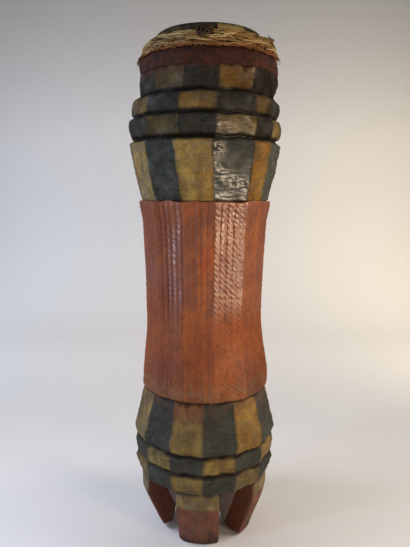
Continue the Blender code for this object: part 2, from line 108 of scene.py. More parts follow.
# The barrel's line
BARREL_FOOT_RADIUS = 0.1390
BARREL_WAIST_RADIUS = 0.1257
BARREL_TOP_RADIUS = 0.1398
BARREL_NECK_RADIUS = 0.1335
BARREL_FOOT_TUCK = 0.1260
BARREL_TOP_TUCK = 0.1240
BULGE_LEVEL = LOWER_FLARE_TOP + 0.0230
WAIST_LEVEL = LOWER_FLARE_TOP + 0.1600
NECK_LEVEL = BARREL_TOP - 0.0420

# Lines of the bands below and above the barrel, as radius to the corners and height
LOWER_LINE = (
    (0.0460, LEG_TOP), (0.1450, LEG_TOP),
    (0.1545, FOOT_RING_TOP - 0.0110), (0.1530, FOOT_RING_TOP - 0.0040),
    (0.1470, FOOT_RING_TOP),
    (0.1520, FOOT_RING_TOP + 0.0040), (0.1560, FOOT_RING_TOP + 0.0310),
    (0.1535, SECOND_RING_TOP - 0.0040), (0.1470, SECOND_RING_TOP),
    (0.1535, SECOND_RING_TOP + 0.0040), (0.1580, SECOND_RING_TOP + 0.0210),
    (0.1345, LOWER_FLARE_TOP - 0.0015), (0.1270, LOWER_FLARE_TOP),
)
FLARE_ROUNDING = 0.0085
UPPER_LINE = (
    (BARREL_TOP_TUCK, BARREL_TOP), (0.1335, BARREL_TOP),
    (0.1470, BARREL_TOP + 0.0540), (0.1582, UPPER_FLARE_TOP - FLARE_ROUNDING),
    (0.1470, UPPER_FLARE_TOP),
    (0.1553, UPPER_FLARE_TOP + 0.0057), (0.1588, UPPER_FLARE_TOP + 0.0170),
    (0.1598, UPPER_FLARE_TOP + 0.0265), (0.1568, UPPER_RING_TOP - 0.0050),
    (0.1470, UPPER_RING_TOP),
    (0.1516, UPPER_RING_TOP + 0.0050), (0.1544, UPPER_RING_TOP + 0.0180),
    (0.1514, TOP_RING_TOP - 0.0095), (0.1379, TOP_RING_TOP),
    (0.1426, COLLAR_TOP - 0.0170), (0.1415, COLLAR_TOP - 0.0018),
    (0.1360, COLLAR_TOP - 0.0002), (0.1240, COLLAR_TOP + 0.0010),
)

# The log's axis wanders a little: how far it lies towards +X at each level
HEAD_OFFSET = 0.0050
AXIS = (
    (LEG_TOP, 0.0010), (LOWER_FLARE_TOP, 0.0020), (WAIST_LEVEL, -0.0020),
    (UPPER_RING_TOP, -0.0020), (COLLAR_TOP - 0.0006, HEAD_OFFSET),
)

# Hollow
BORE_RADIUS = 0.0950
MOUTH_RADIUS = 0.0480
MOUTH_TOP = 0.1500
BORE_FOOT = 0.2350

# Legs: the last one, at the left behind the front one, is worn short
LEG_COUNT = 5
WORN_LEG = LEG_COUNT - 1
LEG_INTO_LOG = 0.003
LEG_OUTER_POINTS = 24
LEG_SIDE_POINTS = 14
LEG_INNER_POINTS = 10
FIRST_LEG_ANGLE = -5.5
LEG_HALF_ANGLE = 18.5
FOOT_HALF_ANGLE = 22.5
LEG_RADIUS = 0.1410
LEG_BEND = 0.0970
FOOT_RADIUS = 0.1080
LEG_INNER_RADIUS = 0.0500
FOOT_INNER_RADIUS = 0.0800
FOOT_HOLLOW = 0.0350
WORN_FOOT_RADIUS = 0.0990
WORN_FOOT_INNER_RADIUS = 0.0880
WORN_AWAY = 0.0090
FOOT_CORNER = 0.0085
LEG_YELLOW_FROM = 0.0985
LEG_PAINT_DEPTH = 0.0460

# Hide and binding: the band of fibre lies on the shoulder between two places
BAND_FOOT = (0.1340, DRUM_TOP - 0.0520)
BAND_TOP = (0.1140, DRUM_TOP - 0.0240)
HIDE_LINE = (
    (0.1380, COLLAR_TOP - 0.0018), (0.1413, COLLAR_TOP - 0.0016),
    (0.1420, COLLAR_TOP + 0.0040), (0.1414, DRUM_TOP - 0.0640),
    (0.1390, DRUM_TOP - 0.0565), BAND_FOOT, BAND_TOP, (0.1105, DRUM_TOP - 0.0120),
    (0.1065, DRUM_TOP - 0.0050), (0.0995, DRUM_TOP - 0.0008), (0.0900, DRUM_TOP - 0.0009),
    (0.0030, DRUM_TOP - 0.0014),
)
YELLOW_PATCH_ANGLE = 23
BACK_PATCH_ANGLES = (-100, 165)
YELLOW_INNER_RADIUS = 0.103
PLAYED_RADIUS = 0.098
STRANDS = 6
STRAND_RADIUS = 0.0022
TURN_STEPS = 300
WISPS = 420
TUFT_FIBRES = 90
CUT_ENDS = 26
LOOSE_FIBRES = 420
KNOT_ANGLE = radians(-2.8)
KNOT_RADIUS = 0.1262
KNOT_LEVEL = 1.0330
KNOT_SPREAD = 0.0126
KNOT_HEIGHT = 0.0075
KNOT_TURNS = 3.1
KNOT_CORD_RADIUS = 0.0027
CROSSING_CORD_RADIUS = 0.0021
CROSSING_REACH = (0.0150, 0.0142, 0.0092)
KNOT_CORE = (0.0100, 0.0094, 0.0066)
BAND_BULGE = 0.0065
BAND_BULGE_RISE = 2.0
BAND_BULGE_FULLNESS = 0.7

# A paint's mark says how many mm inside its edge a point lies: this is far inside it
FAR = 20.0

# Ground colours of the paints and of the bare wood
WOOD = "#a09893"
BLACK = "#292c29"
OCHRE = "#8d7644"
RED = "#80462e"

# How dark each band is made, 0 to 1: grime from hands and smoke, and painted shade that
# darkens the top bands and the foot rings, where less light falls
GRIME_AND_SHADE = {"foot_ring": 0.46, "second_ring": 0.40, "lower_flare": 0.40, "upper_flare": 0.20,
         "upper_ring": 0.50, "top_ring": 0.53, "collar": 0.58}

# Paint of each band: whether ochre lies on the even or the odd facets, and the tone of
# its front facets, from -1 (dull olive) to 1 (bright orange ochre). Below this one a
# facet is nearly black with grime
GRIMED_TONE = -1.05
FRONT_TONES = {
    "foot_ring": (1, {12: -0.4, 13: -0.3, 0: -0.5, 1: -1.0}),
    "second_ring": (0, {12: -0.3, 13: -0.4, 0: 0.0, 1: -0.4}),
    "lower_flare": (1, {11: -1.0, 12: 0.2, 13: 0.1, 0: -0.5, 1: 0.5, 2: -0.5}),
    "upper_flare": (1, {13: -0.9, 0: 0.2, 1: 0.0, 2: 0.0, 3: 0.95, 4: -1.0}),
    "upper_ring": (0, {13: 0.2, 0: -0.95, 1: 0.2, 2: -0.2, 3: 0.2, 4: -0.6}),
    "top_ring": (1, {13: -0.3, 0: 0.0, 1: 0.1, 2: 0.2, 3: 0.3, 4: 0.2}),
    "collar": (0, {13: 0.2, 0: -0.7, 1: 0.2, 2: 0.7, 3: 0.2, 4: -1.1}),
}

# Lights: name, place, target, size, watts, colour and spread in degrees
LIGHTS = (
    ("window_left", (-1.75, -1.0, 0.70), (0, 0, 0.62), (0.30, 0.9), 4.2, "#dce8ff", 80),
    ("window_right", (1.55, -1.35, 0.38), (0, 0, 0.60), (0.20, 0.72), 4.6, "#ffe5c2", 66),
    ("ceiling", (0.2, -1.6, 2.6), (0, 0, 0.2), (2.2, 1.4), 2.6, "#fff4e6", 180),
    ("wall_left", (-1.8, 0.35, 0.7), (-0.7, 2.4, 0.40), (1.0, 0.8), 14.2, "#cfe0ff", 108),
    ("wall_right", (1.8, 0.35, 0.7), (0.8, 2.4, 0.40), (1.0, 0.8), 18.6, "#ffefd6", 108),
    ("floor_left", (-1.4, -0.1, 1.3), (-0.4, -0.25, 0.0), (0.8, 0.8), 8.8, "#e4ebff", 100),
    ("floor_right", (1.4, -0.1, 1.3), (0.4, -0.25, 0.0), (0.8, 0.8), 7.2, "#fff5ee", 100),
    ("floor_behind", (0, 1.5, 1.9), (0, 1.35, 0.0), (2.4, 0.5), 5.0, "#fdf9f4", 90),
)

# What the rest of the room gives from all sides
ROOM_COLOUR = "#e8eaf0"
ROOM_STRENGTH = 0.09

# The paper behind: how far it reaches each way and up, and its bend from floor to wall
BACKDROP_REACH = 4.0
BEND_FROM = 1.5
BEND_RADIUS = 1.1

# The photograph's camera, found from the rings and the outline
CAMERA_PLACE = (0.0007, -1.12, 0.7448)
CAMERA_TILT = 8.86
CAMERA_ROLL = 0.35
FOCAL_LENGTH_IN_PIXELS = 520
PICTURE_WIDTH_IN_PIXELS = 410


def linear(hex_colour):
    """An sRGB hex colour as the linear one that shaders and lights take."""
    parts = [int(hex_colour[i:i + 2], 16) / 255 for i in (1, 3, 5)]
    bright = [c / 12.92 if c <= 0.04045 else ((c + 0.055) / 1.055) ** 2.4 for c in parts]
    return (*bright, 1.0)


def add(tree, kind, links=None, out=0, **settings):
    """One node with its settings, values and links. Gives back the output asked for."""
    node = tree.nodes.new(kind)
    for name, value in settings.items():
        setattr(node, name, value)
    for name, value in (links or {}).items():
        if isinstance(value, bpy.types.NodeSocket):
            tree.links.new(value, node.inputs[name])
        else:
            node.inputs[name].default_value = value
    return node.outputs[out] if node.outputs else None


def per_metre(millimetres):
    """A texture scale that makes its pattern about so many millimetres across."""
    return 1000 / millimetres


def eased(t):
    """A smooth run from 0 to 1."""
    t = np.clip(t, 0, 1)
    return t * t * (3 - 2 * t)


def axis_offset(height):
    """How far towards +X the log's axis lies at a height."""
    offset = AXIS[0][1]
    for (low, before), (high, after) in zip(AXIS, AXIS[1:]):
        offset = offset + (after - before) * eased((height - low) / (high - low))
    return offset


def uneven(points, size, seed, stretch=(1, 1, 1)):
    """Hand-made unevenness, about -1 to 1, with bumps of a size in metres.

    A stretch makes the bumps so many times longer along each axis.
    """
    draw = np.random.default_rng(seed)
    waves = 10
    total = np.zeros(points.shape[:-1])
    for _ in range(waves):
        heading = draw.normal(size=3)
        heading = heading / np.linalg.norm(heading) / np.array(stretch)
        pace = 2 * pi / (2 * size * draw.uniform(0.7, 1.5))
        total += np.sin(points @ heading * pace + draw.uniform(0, 2 * pi))
    return total / waves ** 0.5 / 1.2


def upper_corners(lean=0.0):
    """Corner angles of the upper part: uneven in front, even round the back."""
    front = [radians(a + lean * b) for a, b in zip(UPPER_FRONT_CORNERS, FLARE_LEAN)]
    rest = FACETS - len(front) + 1
    span = 2 * pi - (front[-1] - front[0])
    return np.array(front + [front[-1] + span * i / rest for i in range(1, rest)])


def lower_corners():
    """Corner angles of the lower part."""
    return radians(LOWER_FIRST_CORNER) + np.arange(FACETS) * 2 * pi / FACETS


def line_points(line, step):
    """A line through stations, cut into even steps and slightly rounded at its turns."""
    line = np.array(line)
    runs = np.hypot(*np.diff(line, axis=0).T)
    at = np.concatenate([[0], np.cumsum(runs)])
    count = int(at[-1] / step)
    along = np.linspace(0, at[-1], count + 1)
    radius = np.interp(along, at, line[:, 0])
    height = np.interp(along, at, line[:, 1])
    for values in (radius, height):
        values[1:-1] = (values[:-2] + 2 * values[1:-1] + values[2:]) / 4
    return radius, height


def facet_grid(radius, height, corners, columns):
    """Points on flat facets, row by row, with each column's facet and share across it.

    The corners are given once for all rows, or for each row.
    """
    corners = np.broadcast_to(corners, (len(radius), FACETS))
    facet = np.repeat(np.arange(FACETS), columns)
    share = np.tile(np.arange(columns) / columns, FACETS)
    first = corners[:, facet]
    last = np.roll(corners, -1, axis=1)[:, facet]
    x = radius[:, None] * (np.sin(first) * (1 - share) + np.sin(last) * share)
    y = -radius[:, None] * (np.cos(first) * (1 - share) + np.cos(last) * share)
    z = np.broadcast_to(height[:, None], x.shape)
    return np.stack([x, y, z], axis=-1), facet, share


def pushed(points, depth):
    """The points moved outwards from the log's axis by a depth, and set on that axis."""
    reach = np.hypot(points[..., 0], points[..., 1])
    scale = 1 + depth / np.maximum(reach, 0.001)
    x = points[..., 0] * scale + axis_offset(points[..., 2])
    return np.stack([x, points[..., 1] * scale, points[..., 2]], axis=-1)


def strips(rows, columns, first=0, closed=True):
    """Faces of a grid that closes on itself sideways, or lies open."""
    r, c = np.meshgrid(np.arange(rows - 1), np.arange(columns - (not closed)), indexing="ij")
    right = (c + 1) % columns
    corners = [r * columns + c, r * columns + right, (r + 1) * columns + right]
    corners.append((r + 1) * columns + c)
    return np.stack(corners, axis=-1).reshape(-1, 4) + first


def every_point(values, points):
    """A mark's values, one for each point, from one for all or one for each level."""
    return np.broadcast_to(values, points.shape[:-1]).astype(np.float32).ravel()


def make_piece(name, points, faces, material, node, marks):
    """A mesh with its surface marks, riding on the drum in place of a CAD node.

    It is kept within the CAD's box.
    """
    mesh = bpy.data.meshes.new(name)
    mesh.from_pydata(np.clip(points.reshape(-1, 3), *CAD_BOX), [], faces)
    for mark, values in marks.items():
        layer = mesh.attributes.new(mark, "FLOAT", "POINT")
        layer.data.foreach_set("value", every_point(values, points))
    mesh.shade_smooth()
    mesh.materials.append(material)
    piece = bpy.data.objects.new(name, mesh)
    bpy.context.scene.collection.objects.link(piece)
    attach(piece, "root")
    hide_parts(node)
    return piece


def arrises(radius):
    """How far each level of a line stands out from its neighbours, 0 to 1."""
    reach = 5
    kernel = np.ones(2 * reach + 1) / (2 * reach + 1)
    smooth = np.convolve(np.pad(radius, reach, "edge"), kernel, "valid")
    return np.clip((radius - smooth) / 0.0012, 0, 1)


def cut_shade(height, cuts):
    """Painted shade at each level: full in a cut, less for some way above and below it."""
    painted_shade = np.zeros(len(height))
    for cut in cuts:
        off = height - cut
        reach = np.where(off > 0, CUT_SHADE_ABOVE, CUT_SHADE_BELOW)
        painted_shade = np.maximum(painted_shade, 1.15 * np.clip(1 - np.abs(off) / reach, 0, 1) ** 0.6)
    return painted_shade


def rubbed(proud, share, width):
    """How rubbed a band is: along its sharp levels and at the corners of its facets."""
    corner = np.maximum(0, 1 - np.minimum(share, 1 - share) * width * 1000 / RUBBED_CORNER)
    return np.maximum(0.35 * proud[:, None], 0.45 * corner)


def checker(bands, points, height, facet, share, width):
    """Marks for the painted blocks: mm inside an ochre block, its tone, and its grime with painted
    shade.
    """
    ochre = np.full((len(height), len(facet)), -FAR)
    tone = np.zeros_like(ochre)
    grime_and_shade = np.zeros_like(ochre)
    edge = np.minimum(share, 1 - share) * width * 1000
    draw = np.random.default_rng(5)
    for name, low, high in bands:
        odd, tones = FRONT_TONES[name]
        every = draw.uniform(-0.6, 0.5, FACETS)
        for index, value in tones.items():
            every[index] = value
        inside = (height >= low) & (height < high)
        sign = np.where(facet % 2 == odd, 1, -1)
        ochre[inside] = sign * np.minimum(edge, 12) + 0.01
        tone[inside] = every[facet]
        grime_and_shade[inside] = GRIME_AND_SHADE[name] + 0.4 * (every[facet] < GRIMED_TONE)
    ochre += 1.5 * uneven(points, 0.016, 47)
    tone += 0.24 * uneven(points, 0.021, 39) + 0.16 * uneven(points, 0.0075, 40)
    grime_and_shade += 0.10 * uneven(points, 0.028, 46)
    return ochre, tone, grime_and_shade


# Materials

def start_material(name):
    """An empty material, and its node tree."""
    material = bpy.data.materials.new(name)
    material.use_nodes = True
    material.node_tree.nodes.clear()
    return material, material.node_tree


def patterns(tree, kinds, marks):
    """Patterns of real sizes in mm, and the marks on the mesh, by name."""
    place = add(tree, "ShaderNodeTexCoord", out="Object")
    found = {}
    for name, size, detail, stretch in kinds:
        spread = add(tree, "ShaderNodeMapping", {"Vector": place, "Scale": stretch})
        found[name] = add(tree, "ShaderNodeTexNoise", {
            "Vector": spread, "Scale": per_metre(size), "Detail": detail, "Roughness": 0.58})
    for name in marks:
        found[name] = add(tree, "ShaderNodeAttribute", out="Fac", attribute_name=name)
    return found


def coats(tree, found, colour, layers):
    """A colour under thin coats: what each follows, from where to where, how much, and what."""
    for follows, low, high, most, coat in layers:
        cover = add(tree, "ShaderNodeMapRange", {0: found[follows], 1: low, 2: high, 4: most})
        coat = linear(coat) if isinstance(coat, str) else coat
        colour = add(tree, "ShaderNodeMix", {0: cover, 6: colour, 7: coat}, out=2,
                     data_type="RGBA")
    return colour


def surface(tree, colour, roughness, sheen, height, strength, depth, ior):
    """The material's skin: its colour, how rough and shiny it is, and its fine relief."""
    bump = add(tree, "ShaderNodeBump",
               {"Strength": strength, "Distance": depth, "Height": height}, out="Normal")
    shader = add(tree, "ShaderNodeBsdfPrincipled", {
        "Base Color": colour, "Roughness": roughness, "Specular IOR Level": sheen,
        "Normal": bump, "IOR": ior})
    add(tree, "ShaderNodeOutputMaterial", {"Surface": shader})


def painted_wood():
    """Gouge-carved hardwood under hand-brushed earth paints, waxed by handling.

    The eye gets flat uneven colour blocks with soft edges, pale rubbed corners, grime and
    painted shade in the cuts, and a matt skin that shines only where hands have polished it.
    """
    material, tree = start_material("painted_hardwood")
    found = patterns(tree, (
        ("blotch", 34, 3, (1, 1, 1)), ("patch", 11, 4, (1, 1, 1)), ("grain", 2.6, 3, (1, 1, 1)),
        ("strokes", 9, 4, (0.6, 0.6, 3.2)), ("fibres", 5, 3, (1, 1, 0.12)),
        ("brush", 6, 3, (1.6, 1.6, 0.4)), ("cloud", 24, 3, (1, 1, 0.7)),
    ), ("black", "ochre", "red", "tone", "stain", "wear", "dirt_and_shade", "polish"))

    # Bare wood is grey-brown; black is thin soot; ochre runs from olive to orange
    wood = coats(tree, found, linear(WOOD), (("fibres", 0.35, 0.65, 1.0, "#b0a59d"),))
    black = coats(tree, found, linear(BLACK), (
        ("patch", 0.35, 0.70, 1.0, "#42463f"), ("tone", 0.2, -1.0, 0.5, "#5c6056"),
        ("strokes", 0.46, 0.66, 0.6, "#1a1915"), ("brush", 0.50, 0.66, 0.3, "#4d5049"),
        ("cloud", 0.54, 0.66, 0.45, "#454840"), ("grain", 0.56, 0.70, 0.2, "#5a5b53"),
    ))
    ochre = coats(tree, found, linear(OCHRE), (
        ("tone", 0.0, -1.0, 0.9, "#6d634a"), ("tone", 0.1, 1.0, 1.0, "#a6732a"),
        ("blotch", 0.46, 0.60, 0.7, "#735b3c"), ("strokes", 0.50, 0.68, 0.5, "#574628"),
        ("cloud", 0.50, 0.62, 0.6, "#a98c46"), ("patch", 0.54, 0.70, 0.6, "#9f906c"),
        ("brush", 0.52, 0.70, 0.3, "#5f5330"), ("ochre", 7.0, 0.5, 0.6, "#51442a"),
    ))
    red = coats(tree, found, linear(RED), (
        ("blotch", 0.42, 0.60, 0.8, "#8f4f2d"), ("tone", 0.0, 1.0, 0.85, "#a65d28"),
        ("tone", 0.9, 1.4, 0.9, "#a3451f"),
        ("tone", 0.0, -1.0, 0.8, "#6b3a2f"), ("cloud", 0.50, 0.64, 0.6, "#713f2b"),
        ("patch", 0.56, 0.72, 0.5, "#5f3122"), ("brush", 0.52, 0.70, 0.5, "#583023"),
        ("grain", 0.52, 0.68, 0.3, "#a5694a"), ("grain", 0.46, 0.32, 0.2, "#4c2a20"),
    ))

    # Each paint's edge wanders a little, as a hand-drawn one does: by so many mm
    colour = wood
    for paint, coat, wander in (("black", black, 3.0), ("ochre", ochre, 3.0), ("red", red, 2.5)):
        edge = add(tree, "ShaderNodeMath", {0: found["patch"], 1: wander, 2: found[paint]},
                   operation="MULTIPLY_ADD")
        cover = add(tree, "ShaderNodeMapRange", {0: edge, 1: wander / 2 - 0.6, 2: wander / 2 + 0.6})
        colour = add(tree, "ShaderNodeMix", {0: cover, 6: colour, 7: coat}, out=2,
                     data_type="RGBA")

    # Red that ran over the next block, rubbed edges, grime, and painted shade in the cuts
    for follows, breaks, share in (("stain", "patch", 0.8), ("wear", "patch", 0.9),
                                   ("dirt_and_shade", "patch", 0.35)):
        found[follows] = add(tree, "ShaderNodeMath",
                             {0: found[breaks], 1: share, 2: found[follows]},
                             operation="MULTIPLY_ADD")
    colour = coats(tree, found, colour, (
        ("stain", 0.45, 0.95, 0.75, "#7c4832"), ("stain", 1.10, 1.45, 1.0, "#4a241a"),
        ("wear", 0.85, 1.25, 0.5, "#9a8768"), ("wear", 1.55, 1.75, 0.8, "#cfc6b0"),
        ("dirt_and_shade", 0.30, 0.95, 0.92, "#1d1a15"), ("dirt_and_shade", 0.95, 1.25, 1.0, "#0b0907"),
        ("grain", 0.30, 0.75, 0.25, "#3a3028"),
    ))

    # Polished places shine; elsewhere the paint is powdery
    matt = add(tree, "ShaderNodeMapRange", {0: found["polish"], 3: 0.76, 4: 0.17})
    gloss = add(tree, "ShaderNodeMath", {0: found["patch"], 1: 0.12, 2: matt},
                operation="MULTIPLY_ADD")
    sheen = add(tree, "ShaderNodeMapRange", {0: found["polish"], 3: 0.05, 4: 0.62})
    height = found["strokes"]
    for pattern, share in (("grain", 0.35), ("fibres", 0.5), ("brush", 0.4)):
        height = add(tree, "ShaderNodeMath", {0: found[pattern], 1: share, 2: height},
                     operation="MULTIPLY_ADD")
    surface(tree, colour, gloss, sheen, height, strength=0.7, depth=0.0010, ior=1.5)
    return material


def hide_material():
    """Rawhide, scraped and rubbed with red earth, blackened over the rim.

    The eye gets a dull mottled skin, dark maroon below the binding, green-black above.
    """
    material, tree = start_material("stained_rawhide")
    found = patterns(tree, (("blotch", 13, 5, (1, 1, 1)), ("pores", 2.2, 2, (1, 1, 1)),
                            ("streaks", 7, 3, (2, 2, 0.4))),
                     ("crown", "yellow", "rim", "played"))
    crown = coats(tree, found, linear("#27251a"), (
        ("blotch", 0.42, 0.62, 0.85, "#554b32"), ("pores", 0.5, 0.7, 0.4, "#6f6141")))
    yellow = coats(tree, found, linear("#bda66c"), (("blotch", 0.42, 0.66, 1.0, "#86744a"),))
    skin = coats(tree, found, linear("#5a4a35"), (("blotch", 0.35, 0.7, 1.0, "#6e5b42"),))
    colour = coats(tree, found, linear("#4d281c"), (
        ("blotch", 0.38, 0.62, 1.0, "#31201a"), ("streaks", 0.5, 0.7, 0.5, "#2a1813"),
        ("crown", 0, 1, 1.0, crown), ("yellow", 0, 1, 1.0, yellow), ("rim", 0, 1, 0.6, "#2b281c"),
        ("played", 0, 1, 1.0, skin),
        ("pores", 0.4, 0.75, 0.4, "#1f1410"),
    ))
    surface(tree, colour, roughness=0.85, sheen=0.2, height=found["pores"], strength=0.5,
            depth=0.0006, ior=1.45)
    return material


def fibre_material(name, ground, deep, pale, stained):
    """Twisted dry plant fibre: matt, straw to brown, stained red along its lower turns.

    Single fibres are too fine to show, so its lines are drawn at about 1.6 mm.
    """
    material, tree = start_material(name)
    found = patterns(tree, (("blotch", 9, 4, (1, 1, 1)), ("lines", 1.6, 2, (1, 1, 1))),
                     ("tone", "stain"))
    colour = coats(tree, found, linear(ground), (
        ("blotch", 0.35, 0.65, 0.7, deep), ("tone", 0, 1, 0.8, pale),
        ("tone", 0, -1, 0.9, "#2c2013"), ("stain", 0, 1, 1.0, stained),
        ("lines", 0.40, 0.75, 0.5, "#2a1d13"),
    ))
    surface(tree, colour, roughness=0.85, sheen=0.25, height=found["lines"], strength=0.6,
            depth=0.0006, ior=1.45)
    return material


def backdrop_material():
    """Matt pale paper for the floor and the wall behind."""
    material, tree = start_material("backdrop_paper")
    shader = add(tree, "ShaderNodeBsdfPrincipled", {
        "Base Color": linear("#dcdad6"), "Roughness": 0.9, "IOR": 1.45})
    add(tree, "ShaderNodeOutputMaterial", {"Surface": shader})
    return material


# The log

def barrel_radius(height):
    """The barrel's line: full at its foot, narrow at the waist, flared to a lip."""
    low = eased((height - BULGE_LEVEL) / (WAIST_LEVEL - BULGE_LEVEL)) ** 0.8
    radius = BARREL_FOOT_RADIUS + (BARREL_WAIST_RADIUS - BARREL_FOOT_RADIUS) * low
    up = np.clip((height - WAIST_LEVEL) / (NECK_LEVEL - WAIST_LEVEL), 0, 1) ** 1.4
    radius = radius + (BARREL_NECK_RADIUS - BARREL_WAIST_RADIUS) * up
    lip = np.clip((height - NECK_LEVEL) / (BARREL_TOP - 0.010 - NECK_LEVEL), 0, 1)
    radius = radius + (BARREL_TOP_RADIUS - BARREL_NECK_RADIUS) * lip
    foot = np.clip(1 - (height - LOWER_FLARE_TOP) / (BULGE_LEVEL - LOWER_FLARE_TOP), 0, 1)
    return radius - 0.0030 * foot ** 2.5


def barrel(material):
    """The ribbed red waist of the log."""
    height = np.linspace(LOWER_FLARE_TOP + 0.0010, BARREL_TOP - 0.0008, BARREL_ROWS)
    radius = barrel_radius(height)
    height = np.concatenate([[height[0]], height, [height[-1]]])
    radius = np.concatenate([[BARREL_FOOT_TUCK], radius, [BARREL_TOP_TUCK]])
    columns = COLUMNS_PER_RIB * RIBS_PER_FACET
    points, facet, share = facet_grid(radius, height, upper_corners(), columns)

    draw = np.random.default_rng(11)
    along = points[..., 2]
    across = share * RIBS_PER_FACET
    rib = np.minimum(across.astype(int), RIBS_PER_FACET - 1)
    in_rib = across - rib
    key = facet * RIBS_PER_FACET + rib
    count = FACETS * RIBS_PER_FACET
    depth = draw.uniform(0.5, 1.6, count)[key]
    phase = draw.uniform(-0.22, 0.22, count)[key]
    strong = np.array(BARREL_NOTCHES)[facet] * (0.85 + 0.35 * uneven(points, 0.05, 21))
    handled = eased((along - HANDLED_ABOVE) / 0.08)
    strong = strong * np.where(facet == SHINY_FACET, 0.75 + 0.25 * handled, 1.0)
    ribbed = np.where(facet == SMOOTH_FACET, 0.15, 1.0)

    drift = 0.0020 * uneven(points, 0.025, 22, (0.5, 0.5, 1.0))
    turns = (along + drift + NOTCH_SLANT * across * RIB_WIDTH) / NOTCH_PITCH + phase
    turn = turns - np.floor(turns)
    bottom = np.exp(-((turn - 0.5) / 0.16) ** 2)
    notch = bottom - 0.45 * turn
    beaded = (facet <= FRONT_FACET) | (facet == LEFT_FACET)
    ridge = np.abs(2 * in_rib - 1) ** np.where(beaded, 2, 4)
    depth = depth * np.where(beaded, 0.55 + 0.65 * handled, 1.0)
    depth = depth * np.where(facet == SHINY_FACET, 0.35 + 0.65 * handled, 1.0)
    ends = eased((along - LOWER_FLARE_TOP) / 0.012) * eased((BARREL_TOP - along) / 0.010)
    relief = -RIB_DEPTH * depth * ribbed * ridge * ends
    relief -= NOTCH_DEPTH * strong * notch * (1 - 0.35 * ridge) * ends
    relief += 0.0008 * uneven(points, 0.022, 23, (1, 1, 2.0))
    relief += 0.0003 * uneven(points, 0.006, 26)
    points[..., 2] += 0.0019 * uneven(points, 0.02, 24, (1, 1, 20)) * eased((along - 0.70) / 0.03)
    relief += 0.0016 * uneven(points, 0.017, 29) * eased((0.375 - along) / 0.03) * ends
    points[0, :, 2] = points[1, :, 2] = height[0]
    points = pushed(points, relief)

    lip = np.maximum(0, 1 - np.abs(along - BARREL_TOP) / 0.004)
    foot = np.maximum(0, 1 - (along - LOWER_FLARE_TOP) / 0.006)
    corner = np.maximum(0, 1 - np.minimum(share, 1 - share) * 30)
    # Fresher red on the front facet, and each rib a little different
    tone = np.array(BARREL_TONES)[facet] + 0.3 * uneven(points, 0.045, 25)
    bright = np.clip(1 - np.abs(along - 0.60) / 0.085, 0, 1) ** 0.4 * eased((share - 0.45) / 0.1)
    tone = np.where(facet == FRONT_FACET, tone + 0.95 * bright, tone)
    tone = np.where(facet == SMOOTH_FACET, tone + 0.45 * handled, tone)
    low = eased((THIN_PAINT_BELOW - along) / 0.10)
    every_rib = draw.uniform(-0.35, 0.25, count)[key]
    every_rib = np.where(facet == SHINY_FACET, 0.3, 1.0) * every_rib
    # Darker in the notches: dust and painted shade
    in_notch = bottom * strong * ends
    tone = tone + every_rib - 0.6 * in_notch * (0.45 + 0.55 * handled)
    cut = 0.9 * depth * ridge ** 3 * ribbed + 0.8 * strong * np.exp(-((turn - 0.5) / 0.12) ** 2)
    broken = np.clip(0.7 + 0.8 * uneven(points, 0.03, 28), 0, 1)

    # The shine lies on the backs of the ribs in front
    polish = np.array(BARREL_SHINE)[facet]
    on_rib = np.exp(-((in_rib - 0.40) / (0.22 + 0.08 * np.sin(5 * key))) ** 2)
    on_rib = on_rib * np.clip(0.75 + 0.45 * uneven(points, 0.035, 30, (0.4, 0.4, 1)), 0.2, 1.2)
    beside = (facet == LEFT_FACET) | (facet == FRONT_FACET)
    polish = np.where(beside, polish * (0.6 + 0.6 * on_rib), polish)
    from_left = 0.16 + 0.84 * eased((share - 0.12) / 0.5) * on_rib
    polish = np.where(facet == FRONT_LEFT_FACET, from_left, polish)
    polish = polish * (0.15 + 0.85 * handled) + 0.12 * uneven(points, 0.05, 27)
    # Grime, and painted shade: darker in the grooves and notches, at the foot under the flare,
    # towards the bottom, and on the two right-hand facets
    marks = {
        "red": FAR, "black": -FAR, "ochre": -FAR, "tone": tone,
        "dirt_and_shade": np.clip(0.26 * cut * broken + 0.45 * foot + 0.24 * low
                        + 0.24 * ((facet == SMOOTH_FACET) | (facet == RIGHT_FACET)), 0, 1),
        "wear": np.maximum(0.35 * lip + 0.25 * corner, 0.55 * low),
        "stain": 0, "polish": np.clip(polish, 0, 1),
    }
    faces = strips(*along.shape)
    make_piece("log_barrel", points, faces, material, "drum_body", marks)


def chips(points, proud, seed):
    """Small bites out of the sharp levels of a band."""
    bite = np.clip(uneven(points, 0.012, seed) - 0.55, 0, 1)
    return 0.0045 * bite * proud[:, None]


